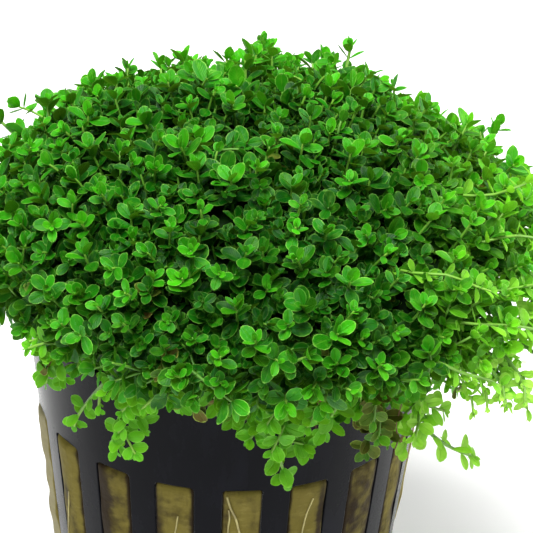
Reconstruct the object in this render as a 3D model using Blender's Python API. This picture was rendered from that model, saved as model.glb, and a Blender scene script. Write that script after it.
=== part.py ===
"""Dwarf baby tears growing over the rim of a black slotted net pot, with its rockwool plug."""

import math
import random

import bmesh
import bpy
from mathutils import Vector, noise
from mathutils.bvhtree import BVHTree

# Driving dimensions, in metres
POT_HEIGHT = 0.050
RIM_RADIUS = 0.0247
COLLAR_FOOT_RADIUS = 0.0241
COLLAR_HEIGHT = 0.0064
BODY_TOP_RADIUS = 0.02385
BASE_RADIUS = 0.01925
WALL = 0.0010

SLOTS = 18
SLOT_BOTTOM = 0.005
SLOT_TOP = 0.037
SLOT_ANGLE = math.radians(11.4)
FRONT_SLOT_ANGLE = math.radians(5.2)
BASE_HUB_RADIUS = 0.007
BASE_HOLE_RADIUS = 0.0155

GAP = 0.0004
PLUG_BOTTOM = WALL + GAP
PLUG_TOP = 0.0500
PLUG_CHAMFER = 0.0015
PLUG_BULGE = 0.0003, 0.0009

MOUND_CENTRE = Vector((0.0038, 0.0005, 0.059))
MOUND_HALF_WIDTH = 0.0360
MOUND_RISE = 0.0170
MOUND_DROP = 0.0110
MOUND_POINTS = 700
LEAF_TUFT_HEIGHT = 0.0011
LUMP_HEIGHT = 0.0012
LUMP_PERIOD = 0.011

STEM_RADIUS = 0.00038
LEAF_LENGTH = 0.0032
LEAF_WIDTH = 0.0024
LEAF_THICKNESS = 0.00045
NODE_SPACING = 0.0034
BASE_LENGTH = 0.0020
LEAF_ANGLE = math.radians(58)

# Where the mound swells out or sinks in: the angle round it from the front, positive to the
# right, the steepness of the direction and the spread, all in degrees, and the height in mm.
SWELLS = [
    (118, 28, 30, -3.9),
    (-150, 44, 22, -0.9),
    (-172, 46, 26, -1.2),
    (86, -40, 36, 6.5),
]

# Each trailing shoot leaves the mound near its first point and follows the rest. A point is the
# angle round the pot from its front, positive to the right, then the radius and the height in mm.
TRAILING_SHOOTS = {
    "left_rim": [(-42, 31.0, 53.5), (-45, 29.4, 51), (-46.5, 28.9, 49)],
    "left_bare": [(-28.5, 30.0, 53), (-33, 28.0, 49.4), (-37, 27.8, 46.4), (-38.8, 27.8, 44.6)],
    "left_front": [(-17, 30.0, 53), (-21, 27.9, 48.5), (-26, 27.6, 43.3)],
    "front_short": [(1, 30.0, 53), (2, 27.6, 50), (4, 27.2, 47.5)],
    "front_long": [(12, 30.0, 53), (12.6, 27.6, 48), (13.8, 27.2, 44), (14.4, 27, 41)],
    "front_right": [(22, 32.0, 53.5), (22, 30.0, 49.5), (22, 28.6, 47)],
    "old_growth": [(33, 33.5, 53), (33, 31.3, 48), (33, 29.0, 43.6)],
    "right_long": [(44, 34.5, 53), (44.5, 32, 48.5), (47, 31, 45.3), (50.7, 31.5, 42.8), (58.3, 33.5, 39.4)],
    "right_front": [(60, 38.5, 51.5), (60, 39.2, 49), (61, 39.4, 46.4)],
    "right_low": [(77, 39.5, 50), (77, 41, 46), (79, 42, 42)],
    "right_side": [(90, 41, 50), (90, 43, 46), (91, 44.5, 42.5)],
    "right_rear": [(104, 41, 52), (104, 44.5, 48), (104, 45.5, 44.5)],
    "rear_right": [(140, 36, 54), (141, 33.5, 49), (140, 31, 43)],
    "rear": [(176, 35, 53.5), (176, 30, 49), (178, 28.4, 42.5)],
    "rear_left": [(-142, 34, 53.5), (-142, 30, 49), (-140, 28.4, 44)],
    "left_side": [(-92, 33.0, 56), (-92, 34.5, 51), (-90, 34.5, 46.5)],
}

# Each standing shoot: the angle round the mound and the steepness of the direction that it
# grows in, both in degrees, and its length in mm.
STANDING_SHOOTS = {
    "crest_left": (-178, 40, 1.8),
    "crest_right": (157, 43, 2.4),
    "shoulder_left": (-112, 20, 4.8),
    "shoulder_right": (118, 24, 3.4),
}


def material(name, colour, roughness, metallic=0.0):
    made = bpy.data.materials.new(name)
    made.use_nodes = True
    shader = made.node_tree.nodes["Principled BSDF"]
    shader.inputs["Base Color"].default_value = (*colour, 1)
    shader.inputs["Roughness"].default_value = roughness
    shader.inputs["Metallic"].default_value = metallic
    return made


def new_object(name, bm, finish, smooth_angle=None):
    """The bmesh as a named object in the scene, with one material."""
    bmesh.ops.recalc_face_normals(bm, faces=bm.faces)
    mesh = bpy.data.meshes.new(name)
    bm.to_mesh(mesh)
    bm.free()
    mesh.materials.append(finish)
    if smooth_angle is not None:
        mesh.shade_smooth()
        mesh.set_sharp_from_angle(angle=smooth_angle)
    made = bpy.data.objects.new(name, mesh)
    bpy.context.scene.collection.objects.link(made)
    return made


def around(angle, radius, height):
    """A point by its angle round the pot, which is 0 at the front (-Y) and positive to the right."""
    return Vector((radius * math.sin(angle), -radius * math.cos(angle), height))


def body_radius(height):
    """The outer radius of the pot's tapered wall below its collar."""
    share = height / (POT_HEIGHT - COLLAR_HEIGHT)
    return BASE_RADIUS + (BODY_TOP_RADIUS - BASE_RADIUS) * share


def slot_centres():
    return [FRONT_SLOT_ANGLE + 2 * math.pi * k / SLOTS for k in range(SLOTS)]


def grid_faces(bm, rows, left_out=frozenset()):
    """Joins rows of vertices that run round the pot, leaving out the (row, column) cells named."""
    columns = len(rows[0])
    for i in range(len(rows) - 1):
        for j in range(columns):
            if (i, j) in left_out:
                continue
            k = (j + 1) % columns
            bm.faces.new((rows[i][j], rows[i][k], rows[i + 1][k], rows[i + 1][j]))


def net_pot(finish):
    """The tapered pot: its wall has upright slots under a plain collar, and its base has drain holes."""
    angles = []
    for centre in slot_centres():
        angles += [centre - SLOT_ANGLE / 2, centre, centre + SLOT_ANGLE / 2]
    collar_foot = POT_HEIGHT - COLLAR_HEIGHT
    profile = [
        (BASE_HUB_RADIUS, 0),
        (BASE_HOLE_RADIUS, 0),
        (BASE_RADIUS, 0),
        (body_radius(SLOT_BOTTOM), SLOT_BOTTOM),
        (body_radius(SLOT_TOP), SLOT_TOP),
        (BODY_TOP_RADIUS, collar_foot - (COLLAR_FOOT_RADIUS - BODY_TOP_RADIUS)),
        (COLLAR_FOOT_RADIUS, collar_foot),
        (RIM_RADIUS, POT_HEIGHT),
    ]
    slot_row = 3
    left_out = set()
    for slot in range(SLOTS):
        cells = (3 * slot, 3 * slot + 1)
        left_out.update((slot_row, j) for j in cells)
        if slot % 2 == 0:
            left_out.update((0, j) for j in cells)
    bm = bmesh.new()
    rows = [[bm.verts.new(around(a, r, z)) for a in angles] for r, z in profile]
    grid_faces(bm, rows, left_out)
    bm.faces.new(rows[0])
    pot = new_object("net_pot", bm, finish, math.radians(35))
    shell = pot.modifiers.new("wall", "SOLIDIFY")
    shell.thickness = WALL
    shell.offset = -1
    shell.use_even_offset = True
    return pot


def rockwool_plug(finish):
    """The plug of rockwool that fills the pot and swells a little out of each slot."""
    rng = random.Random(7)
    zone_bottom = SLOT_BOTTOM + GAP
    zone_top = SLOT_TOP - GAP
    steps = 3
    edges = [zone_bottom + (zone_top - zone_bottom) * k / steps for k in range(steps + 1)]
    half = SLOT_ANGLE / 2 - GAP / BASE_RADIUS
    inner = lambda z: body_radius(min(z, POT_HEIGHT - COLLAR_HEIGHT)) - WALL - GAP
    # Each row is its height, its radius behind the ribs, and whether it swells into the slots
    levels = [(PLUG_BOTTOM, inner(PLUG_BOTTOM), False), (zone_bottom, inner(zone_bottom), False)]
    levels += [(z, inner(z), True) for z in edges]
    levels += [
        (zone_top, inner(zone_top), False),
        (PLUG_TOP - PLUG_CHAMFER, inner(PLUG_TOP), False),
        (PLUG_TOP, inner(PLUG_TOP) - PLUG_CHAMFER, False),
    ]
    bm = bmesh.new()
    rows = []
    for z, behind, swells in levels:
        row = []
        for centre in slot_centres():
            out = [behind, behind, behind]
            if swells:
                out = [body_radius(z) + rng.uniform(*PLUG_BULGE) * share for share in (0.2, 1, 0.2)]
            spots = [(-half, behind), (-half, out[0]), (0, out[1]), (half, out[2]), (half, behind)]
            row += [bm.verts.new(around(centre + turn, radius, z)) for turn, radius in spots]
        rows.append(row)
    grid_faces(bm, rows)
    bm.faces.new(rows[0])
    bm.faces.new(rows[-1])
    bmesh.ops.remove_doubles(bm, verts=bm.verts, dist=GAP / 20)
    bmesh.ops.dissolve_degenerate(bm, edges=bm.edges, dist=GAP / 20)
    return new_object("rockwool_plug", bm, finish)


def sphere_directions(count):
    """Evenly spread directions on a sphere, along a spiral from its top to its bottom."""
    golden = math.pi * (3 - math.sqrt(5))
    for k in range(count):
        z = 1 - 2 * (k + 0.5) / count
        flat = math.sqrt(1 - z * z)
        yield Vector((flat * math.cos(golden * k), flat * math.sin(golden * k), z))


def mound_scale(height):
    """The mound's half width and its rise or drop, for a point at the height."""
    vertical = MOUND_RISE if height > MOUND_CENTRE.z else MOUND_DROP
    return Vector((MOUND_HALF_WIDTH, MOUND_HALF_WIDTH, vertical))


def towards(angle, steepness):
    """The direction at an angle from the front and a steepness, both in degrees."""
    steepness = math.radians(steepness)
    return around(math.radians(angle), math.cos(steepness), math.sin(steepness))


def mound_point(direction):
    """The mound's surface in a direction: a low dome above, a shallow bowl below that rests on the plug."""
    scale = mound_scale(MOUND_CENTRE.z + direction.z)
    point = MOUND_CENTRE + scale * direction
    for angle, steepness, spread, height in SWELLS:
        middle = towards(angle, steepness)
        share = math.exp(-(middle.angle(direction) / math.radians(spread))**2)
        point += middle * height / 1000 * share
    if direction.z > -0.3:
        point += direction * LUMP_HEIGHT * noise.noise(point / LUMP_PERIOD)
    point.z = max(point.z, PLUG_TOP + GAP)
    return point


def leaf_mound(finish):
    """The dense mat of stems and leaves, as one body whose facets stand up like leaf tufts."""
    bm = bmesh.new()
    for direction in sphere_directions(MOUND_POINTS):
        bm.verts.new(direction)
    bmesh.ops.convex_hull(bm, input=bm.verts)
    outer = [f for f in bm.faces if f.calc_center_median().z > -0.25]
    tufts = bmesh.ops.poke(bm, faces=outer)["verts"]
    rng = random.Random(3)
    heights = {v: LEAF_TUFT_HEIGHT * rng.uniform(0.6, 1.5) for v in tufts}
    for vert in bm.verts:
        direction = vert.co.normalized()
        height = heights.get(vert, 0) * (1 if direction.z > 0 else 0.4)
        vert.co = mound_point(direction) + direction * height
    return new_object("leaf_mound", bm, finish)


def smooth_path(points, spacing):
    """Points at about the given spacing on a Catmull-Rom curve through the points."""
    padded = [2 * points[0] - points[1], *points, 2 * points[-1] - points[-2]]
    dense = []
    for a, b, c, d in zip(padded, padded[1:], padded[2:], padded[3:]):
        for k in range(20):
            t = k / 20
            dense.append(0.5 * ((2 * b) + (c - a) * t + (2 * a - 5 * b + 4 * c - d) * t**2
                                + (3 * b - a - 3 * c + d) * t**3))
    dense.append(points[-1])
    length = sum((q - p).length for p, q in zip(dense, dense[1:]))
    count = max(2, round(length / spacing))
    path, walked = [dense[0]], 0
    for p, q in zip(dense, dense[1:]):
        walked += (q - p).length
        if walked >= length * len(path) / count - 1e-9:
            path.append(q)
    return path


def grow_leaf(bm, face, tangent, size, angle):
    """Draws a leaf out of a side face of the stem: a neck, a broad middle and a narrow tip."""
    root = face.calc_center_median()
    outward = face.normal.copy()
    outward = (outward - outward.dot(tangent) * tangent).normalized()
    along = outward * math.sin(angle) + tangent * math.cos(angle)
    upper = tangent * math.sin(angle) - outward * math.cos(angle)
    across = along.cross(upper)
    stages = [(0.5, LEAF_WIDTH, LEAF_THICKNESS), (1.0, LEAF_WIDTH * 0.42, LEAF_THICKNESS * 0.7)]
    for reach, width, thickness in stages:
        middle = face.calc_center_median()
        signs = {}
        for vert in face.verts:
            offset = vert.co - middle
            signs[vert.index] = (offset.dot(across) > 0, offset.dot(upper) > 0)
        order = [signs[vert.index] for vert in face.verts]
        face = bmesh.ops.extrude_discrete_faces(bm, faces=[face])["faces"][0]
        bm.verts.index_update()
        centre = root + along * LEAF_LENGTH * size * reach
        for vert, (right, top) in zip(face.verts, order):
            side = width * size / 2 * (1 if right else -1)
            depth = thickness / 2 * (1 if top else -1)
            vert.co = centre + across * side + upper * depth


def shoot(name, points, finish, biggest=1.0, smallest=0.6):
    """A stem with leaf pairs that stand crosswise to each other, as one closed body."""
    nodes = smooth_path(points, NODE_SPACING)
    bm = bmesh.new()
    rings, leaf_bands, tangents = [], [], []
    normal = None
    for k, spot in enumerate(nodes):
        before, after = nodes[max(k - 1, 0)], nodes[min(k + 1, len(nodes) - 1)]
        tangent = (after - before).normalized()
        if normal is None:
            normal = tangent.orthogonal().normalized()
        normal = (normal - normal.dot(tangent) * tangent).normalized()
        binormal = tangent.cross(normal)
        ends = (0,) if k == 0 else (-STEM_RADIUS, STEM_RADIUS)
        for shift in ends:
            centre = spot + tangent * shift
            corners = (normal + binormal, binormal - normal, -normal - binormal, normal - binormal)
            rings.append([bm.verts.new(centre + c * STEM_RADIUS / math.sqrt(2)) for c in corners])
        if k > 0:
            leaf_bands.append(len(rings) - 2)
            tangents.append(tangent)
    bands = []
    for lower, upper in zip(rings, rings[1:]):
        sides = [(lower[j], lower[(j + 1) % 4], upper[(j + 1) % 4], upper[j]) for j in range(4)]
        bands.append([bm.faces.new(side) for side in sides])
    bm.faces.new(rings[0])
    bm.faces.new(rings[-1])
    bmesh.ops.recalc_face_normals(bm, faces=bm.faces)
    bm.verts.index_update()
    for k, (band, tangent) in enumerate(zip(leaf_bands, tangents)):
        share = k / max(1, len(leaf_bands) - 1)
        size = biggest + (smallest - biggest) * share
        angle = LEAF_ANGLE * (1 - 0.4 * share)
        for side in (k % 2, k % 2 + 2):
            grow_leaf(bm, bands[band][side], tangent, size, angle)
    return new_object(name, bm, finish)


def shoot_base(tree, near, length):
    """The first two points of a shoot that grows square to the mound's surface near a point."""
    scale = mound_scale(near.z)
    offset = near - MOUND_CENTRE
    outward = Vector([part / half**2 for part, half in zip(offset, scale)]).normalized()
    place = tree.ray_cast(near + outward * length * 4, -outward)[0]
    start = place + outward * (GAP + STEM_RADIUS)
    return [start, start + outward * length]


def main():
    for old in list(bpy.data.objects):
        bpy.data.objects.remove(old)
    pot_black = material("pot_black", (0.012, 0.012, 0.015), 0.35)
    rockwool = material("rockwool", (0.20, 0.16, 0.045), 0.95)
    leaf_green = material("leaf_green", (0.05, 0.24, 0.02), 0.45)
    young_green = material("young_green", (0.12, 0.36, 0.03), 0.45)
    old_olive = material("old_olive", (0.13, 0.16, 0.03), 0.55)

    net_pot(pot_black)
    rockwool_plug(rockwool)
    mound = leaf_mound(leaf_green)
    tree = BVHTree.FromObject(mound, bpy.context.evaluated_depsgraph_get())

    for name, spots in TRAILING_SHOOTS.items():
        points = [around(math.radians(a), r / 1000, z / 1000) for a, r, z in spots]
        base = shoot_base(tree, points[0], BASE_LENGTH)
        finish = old_olive if name == "old_growth" else young_green
        shoot(f"trailing_shoot_{name}", [*base, *points[1:]], finish)

    for name, (angle, steepness, length) in STANDING_SHOOTS.items():
        base = shoot_base(tree, mound_point(towards(angle, steepness)), length / 2000)
        upward = (base[1] - base[0]).normalized() + Vector((0, 0, 0.5))
        tip = base[1] + upward.normalized() * length / 2000
        shoot(f"standing_shoot_{name}", [*base, tip], young_green, 0.8, 0.65)


main()
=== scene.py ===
import math

import bmesh
import bpy
import numpy as np
from mathutils import Matrix, Vector, noise


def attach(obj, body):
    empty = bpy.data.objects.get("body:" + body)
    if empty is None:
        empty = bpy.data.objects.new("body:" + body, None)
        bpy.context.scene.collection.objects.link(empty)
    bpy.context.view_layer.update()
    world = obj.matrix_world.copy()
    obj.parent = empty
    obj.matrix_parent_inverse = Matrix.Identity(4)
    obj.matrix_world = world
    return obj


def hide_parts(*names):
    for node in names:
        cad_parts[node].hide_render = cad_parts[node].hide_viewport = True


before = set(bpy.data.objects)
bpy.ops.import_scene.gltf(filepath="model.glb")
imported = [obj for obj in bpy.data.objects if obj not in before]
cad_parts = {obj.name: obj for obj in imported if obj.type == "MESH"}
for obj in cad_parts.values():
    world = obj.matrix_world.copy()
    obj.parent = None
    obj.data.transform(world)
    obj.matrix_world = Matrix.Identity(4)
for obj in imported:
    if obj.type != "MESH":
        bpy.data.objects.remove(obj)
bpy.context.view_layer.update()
mm = 0.001
up = Vector((0, 0, 1))


# Nodes, for shaders and for shapes

def addNode(tree, kind, settings=None, sockets=None):
    node = tree.nodes.new(kind)
    for key, value in (settings or {}).items():
        setattr(node, key, value)
    for key, value in (sockets or {}).items():
        socket = node.inputs[key]
        if isinstance(value, Wire):
            tree.links.new(value.socket, socket)
        elif socket.type == "RGBA" and len(value) == 3:
            socket.default_value = (*value, 1)
        else:
            socket.default_value = value
    return node


def mathMethod(operation, turned=False):  # a method that adds one Math node
    def method(self, other=0.0):
        values = (other, self) if turned else (self, other)
        return self.mathNode(operation, values)
    return method


class Wire:  # a socket that takes part in sums
    def __init__(self, tree, socket):
        self.tree, self.socket = tree, socket

    def mathNode(self, operation, values, clamp=False):
        settings = {"operation": operation, "use_clamp": clamp}
        node = addNode(self.tree, "ShaderNodeMath", settings, dict(enumerate(values)))
        return Wire(self.tree, node.outputs[0])

    __add__, __radd__ = mathMethod("ADD"), mathMethod("ADD", True)
    __sub__, __rsub__ = mathMethod("SUBTRACT"), mathMethod("SUBTRACT", True)
    __mul__, __rmul__ = mathMethod("MULTIPLY"), mathMethod("MULTIPLY", True)
    __truediv__, __rtruediv__ = mathMethod("DIVIDE"), mathMethod("DIVIDE", True)
    __abs__, wave, floor = mathMethod("ABSOLUTE"), mathMethod("SINE"), mathMethod("FLOOR")
    orMore, above = mathMethod("MAXIMUM"), mathMethod("GREATER_THAN")

    def clamped(self):
        return self.mathNode("ADD", (self, 0.0), clamp=True)

    def between(self, low, high):  # 0 at low, 1 at high, eased
        settings = {"interpolation_type": "SMOOTHSTEP"}
        sockets = {"Value": self, "From Min": low, "From Max": high}
        return Wire(self.tree, addNode(self.tree, "ShaderNodeMapRange", settings, sockets).outputs[0])


class Finish:  # a material, with what its expressions need
    def __init__(self, name):
        self.material = bpy.data.materials.new(name)
        self.material.use_nodes = True
        self.tree = self.material.node_tree
        self.tree.nodes.clear()
        self.output = addNode(self.tree, "ShaderNodeOutputMaterial")

    def node(self, kind, settings=None, sockets=None, output=0):
        return Wire(self.tree, addNode(self.tree, kind, settings, sockets).outputs[output])

    def attribute(self, name):
        return self.node("ShaderNodeAttribute", {"attribute_name": name}, output="Fac")

    def noise(self, scale, detail=3.0, roughness=0.55):  # the scale is one number, or one for each axis
        stretch = (1, 1, 1)
        if isinstance(scale, tuple):
            stretch, scale = scale, 1.0
        place = self.node("ShaderNodeTexCoord", output="Object")
        place = self.node("ShaderNodeMapping", None, {"Vector": place, "Scale": stretch})
        sockets = {"Vector": place, "Scale": scale, "Detail": detail, "Roughness": roughness}
        return self.node("ShaderNodeTexNoise", None, sockets)

    def mix(self, share, first, second):
        sockets = {0: share, 6: first, 7: second}
        return self.node("ShaderNodeMix", {"data_type": "RGBA"}, sockets, output=2)

    def shader(self, look, base, roughness, height=None, **sockets):  # the height of the relief, if any
        named = {key.replace("_", " "): value for key, value in sockets.items()}
        if height:
            depth, strength = look["relief"]
            bump = {"Height": height, "Distance": depth, "Strength": strength}
            named["Normal"] = self.node("ShaderNodeBump", None, bump)
        gloss = look.get("gloss", 0.5)
        named.update({"Base Color": base, "Roughness": roughness, "Specular IOR Level": gloss})
        return self.node("ShaderNodeBsdfPrincipled", None, named)

    def done(self, surface):
        self.tree.links.new(surface.socket, self.output.inputs["Surface"])
        return self.material


# Finishes: colours, then the scales of their noises, and the depth in metres and the strength of their relief

leafFinish = {
    "shadeGreen": (0.0012, 0.034, 0.0008),
    "fullGreen": (0.0034, 0.128, 0.0010),
    "youngGreen": (0.056, 0.470, 0.004),
    "paleGreen": (0.260, 0.720, 0.045),
    # the thin and lacy greens are partly the leaves' own paler colour and partly painted backlight
    "thinGreen": (0.210, 0.570, 0.018),
    "lacyGreen": (0.480, 0.760, 0.120),
    # a painted highlight colour for the leaf rims
    "rimGreen": (0.430, 0.800, 0.150),
    "oldOlive": (0.098, 0.108, 0.012),
    "oldRim": (0.300, 0.330, 0.050),
    "deadBrown": (0.075, 0.040, 0.006),
    "glow": (0.270, 0.720, 0.024),
    "grain": 1100.0, "speckle": 4200.0, "broad": 140.0,
    "veins": (52, 17),  # how many along a leaf, and how far they slant
    "relief": (0.00014, 0.8), "gloss": 0.15,
}


def makeLeafMaterial(name, look):
    f = Finish(name)
    uv = f.node("ShaderNodeUVMap", {"uv_map": "leafMap"})
    split = addNode(f.tree, "ShaderNodeSeparateXYZ", None, {"Vector": uv})
    across, along = [Wire(f.tree, split.outputs[k]) for k in (0, 1)]
    side = abs(across - 0.5) * 2
    tone, youth, decay, thin = [f.attribute(key) for key in ("tone", "youth", "decay", "thin")]
    grain, speckle, broad = [f.noise(look[key], 2.0) for key in ("grain", "speckle", "broad")]
    rib = 1 - side.between(0.0, 0.14)
    rim = side.between(0.84, 0.99).orMore(along.between(0.88, 0.99))

    worn = (decay.between(0.15, 0.7) * (0.55 + grain * 0.9)).clamped()
    # pale: a lighter midrib and random grain, with a painted highlight along the rim
    pale = rib * 0.16 + rim * 0.24 + (grain - 0.5) * 0.56
    base = look["shadeGreen"]
    # the tone, youth and thinness attributes carry painted shade and painted light as well as each leaf's own
    # colour
    for colour, share in (("fullGreen", tone * 0.85 + broad * 0.5 - 0.2),
                          ("youngGreen", youth * 0.8 + tone * 0.2 - 0.1),
                          # thin leaves turn paler: partly their own colour, partly painted backlight
                          ("thinGreen", thin * 0.85 + (grain - 0.5) * 0.3),
                          ("lacyGreen", thin.between(0.6, 1.0) * (0.3 + grain * 0.9)),
                          ("oldOlive", worn),
                          ("deadBrown", decay.between(0.5, 1.0) * (along * 0.8 + grain * 0.9 - 0.15)),
                          # painted shade: darker green towards each leaf's base by the stalk
                          ("fullGreen", (1 - along.between(0.0, 0.55)) * 0.42),
                          ("paleGreen", pale * (0.2 + tone * 0.6 + thin * 0.4)),
                          # painted highlight: a pale line along each leaf's rim
                          ("rimGreen", rim * (0.10 + tone * 0.28 + thin * 0.30)),
                          ("oldRim", worn * rim * 0.6)):
        base = f.mix(share.clamped(), base, look[colour])

    count, slant = look["veins"]
    height = (along * count - side * slant).wave() * 0.10 + rib * -0.6 + grain * 0.8 + speckle * 0.30
    rough = (0.30 + grain * 0.2 + worn * 0.3).clamped()
    shader = f.shader(look, base, rough, height)
    through = f.node("ShaderNodeBsdfTranslucent", None, {"Color": look["glow"]})
    share = (0.06 + youth * 0.12 + thin * 0.30 - worn * 0.25).clamped()
    return f.done(f.node("ShaderNodeMixShader", None, {0: share, 1: shader, 2: through}))


stemFinish = {
    "shadeGreen": (0.018, 0.095, 0.004), "fullGreen": (0.110, 0.300, 0.020),
    "youngGreen": (0.270, 0.480, 0.060), "dryBrown": (0.110, 0.050, 0.016),
    "streaks": (1500, 1500, 260), "relief": (0.00005, 1.0), "gloss": 0.35,
}


def makeStemMaterial(name, look):
    f = Finish(name)
    tone, youth, decay = [f.attribute(key) for key in ("tone", "youth", "decay")]
    streaks = f.noise(look["streaks"], 2.0)
    # tone carries painted shade from where each shoot grows, as well as its own colour
    base = f.mix((tone * 0.5 + streaks * 0.6).clamped(), look["shadeGreen"], look["fullGreen"])
    base = f.mix((youth * 0.7).clamped(), base, look["youngGreen"])
    base = f.mix(decay.between(0.3, 0.9), base, look["dryBrown"])
    return f.done(f.shader(look, base, 0.40 + streaks * 0.2, streaks))


# near-black greens painted as the shade inside the dome
tangleFinish = {"deepGreen": (0.0012, 0.006, 0.0006), "raisedGreen": (0.005, 0.028, 0.002),
                "broad": 260.0, "fine": 900.0, "relief": (0.0003, 1.0), "gloss": 0.1}


def makeTangleMaterial(name, look):
    f = Finish(name)
    broad, fine = f.noise(look["broad"], 4.0), f.noise(look["fine"], 3.0)
    base = f.mix(broad.between(0.35, 0.7), look["deepGreen"], look["raisedGreen"])
    return f.done(f.shader(look, base, 0.75 + fine * 0.2, fine))


potFinish = {"black": (0.0018, 0.0020, 0.0036), "smeared": (0.0046, 0.0050, 0.0086),
             "cast": 2600.0, "smears": (240, 240, 80), "relief": (0.00006, 0.5),
             "gloss": 0.045, "sheen": 0.20, "sheenRoughness": 0.28}


def makePotMaterial(name, look):
    f = Finish(name)
    cast, smears = f.noise(look["cast"], 2.0), f.noise(look["smears"], 4.0, 0.6)
    dull = smears.between(0.45, 0.75)
    base = f.mix(dull * 0.7, look["black"], look["smeared"])
    rough = (0.22 + dull * 0.14 + cast * 0.05).clamped()
    return f.done(f.shader(look, base, rough, cast * 0.25 + smears * 0.6,
                           Sheen_Weight=look["sheen"], Sheen_Roughness=look["sheenRoughness"]))


# the dark brown stands for soaked patches and for painted shade at the slot edges; the pale cream is painted
# light on the wool at the left limb
woolFinish = {"olive": (0.108, 0.088, 0.014), "soaked": (0.014, 0.0075, 0.0008),
              "thread": (0.205, 0.172, 0.052), "shadow": (0.030, 0.018, 0.002), "dry": (0.52, 0.50, 0.38),
              "fibre": (620, 620, 1500), "cross": (1500, 1500, 420), "blotch": 300.0, "cloud": 700.0,
              "relief": (0.0003, 1.0), "gloss": 0.12}


def makeWoolMaterial(name, look):
    f = Finish(name)
    stain = f.attribute("stain")
    fibre, cross = f.noise(look["fibre"], 4.0, 0.6), f.noise(look["cross"], 3.0, 0.6)
    blotch, cloud = f.noise(look["blotch"], 4.0, 0.62), f.noise(look["cloud"], 3.0)
    # positive values darken the wool for soaked patches and painted shade; negative values paint it paler as
    # painted light
    wetAndShade, dry = stain.clamped(), (stain * -1).clamped()
    soaked = (stain + (blotch - 0.5) * 2.1 * (1 - wetAndShade) + (cloud - 0.5) * 0.8).between(0.05, 0.85)
    base = f.mix(soaked, look["olive"], look["soaked"])
    base = f.mix((fibre.between(0.45, 0.8) * 0.42 * (1 - wetAndShade)).clamped(), base, look["thread"])
    base = f.mix((cross.between(0.54, 0.8) * 0.40).clamped(), base, look["shadow"])
    base = f.mix((dry * (0.6 + fibre * 0.5)).clamped(), base, look["dry"])
    return f.done(f.shader(look, base, 0.60 + fibre * 0.3, fibre * 0.35 + cross * 0.25 + blotch * 0.4))


rootFinish = {"tan": (0.16, 0.13, 0.035), "pale": (0.36, 0.32, 0.12), "patches": 500.0}


def makeRootMaterial(name, look):
    f = Finish(name)
    share = f.noise(look["patches"], 2.0).between(0.3, 0.7)
    return f.done(f.shader(look, f.mix(share, look["tan"], look["pale"]), 0.5 + share * 0.3))


leafMaterial = makeLeafMaterial("leafGreen", leafFinish)
stemMaterial = makeStemMaterial("stemGreen", stemFinish)
tangleMaterial = makeTangleMaterial("shadedTangle", tangleFinish)
potMaterial = makePotMaterial("potPlastic", potFinish)
woolMaterial = makeWoolMaterial("wetMineralWool", woolFinish)
rootMaterial = makeRootMaterial("paleRoot", rootFinish)
print("finishes ready")


# Shapes

def meshObject(name, data):
    made = bpy.data.objects.new(name, data)
    bpy.context.scene.collection.objects.link(made)
    return made


def bmeshObject(name, bm, material=None):
    mesh = bpy.data.meshes.new(name)
    bm.to_mesh(mesh)
    bm.free()
    if material:
        mesh.materials.append(material)
    return meshObject(name, mesh)


def plain(made):  # the shape as evaluated, with no modifier left
    depsgraph = bpy.context.evaluated_depsgraph_get()
    mesh = bpy.data.meshes.new_from_object(made.evaluated_get(depsgraph), depsgraph=depsgraph)
    mesh.name = made.name
    made.modifiers.clear()
    made.data = mesh
    return made


def around(angle, radius, height):  # the angle is 0 at the front and positive to the right
    return Vector((radius * math.sin(angle), -radius * math.cos(angle), height))


def spot(angle, radius, height):  # the same in degrees and millimetres
    return around(math.radians(angle), radius * mm, height * mm)


def towards(angle, steepness):  # a direction, in degrees
    angle, steepness = math.radians(angle), math.radians(steepness)
    return around(angle, math.cos(steepness), math.sin(steepness))


def facingOut(angle, out, rise):  # the way that leaves beside the pot turn their faces
    return (spot(angle, 1000, 0) * out + up * rise).normalized()


def smoothShare(value, low, high):  # 0 at low, 1 at high, eased
    share = min(1.0, max(0.0, (value - low) / (high - low)))
    return share * share * (3 - 2 * share)


def fromTip(values, k):  # the value for the k-th leaf pair, and the last one from there on
    return values[min(k, len(values) - 1)]


def allFromTip(values, count, factor=1.0):
    return [factor * fromTip(values, k) for k in range(count)]


def pieceName(kind, name):
    return kind + name.title().replace("_", "")


def bridge(bm, low, high, closed=False, smooth=True):  # faces between two rows of points
    count = len(low)
    for k in range(count if closed else count - 1):
        n = (k + 1) % count
        bm.faces.new((low[k], low[n], high[n], high[k])).smooth = smooth


def addModifier(made, kind, **settings):
    modifier = made.modifiers.new(kind.lower(), kind)
    for key, value in settings.items():
        setattr(modifier, key, value)


def giveInputs(made, tree, **values):  # a modifier's inputs, found by their names
    modifier = made.modifiers.new(tree.name, "NODES")
    modifier.node_group = tree
    for item in tree.interface.items_tree:
        key = item.name.replace(" ", "")
        if item.in_out == "INPUT" and key in values:
            modifier[item.identifier] = values[key]


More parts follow.
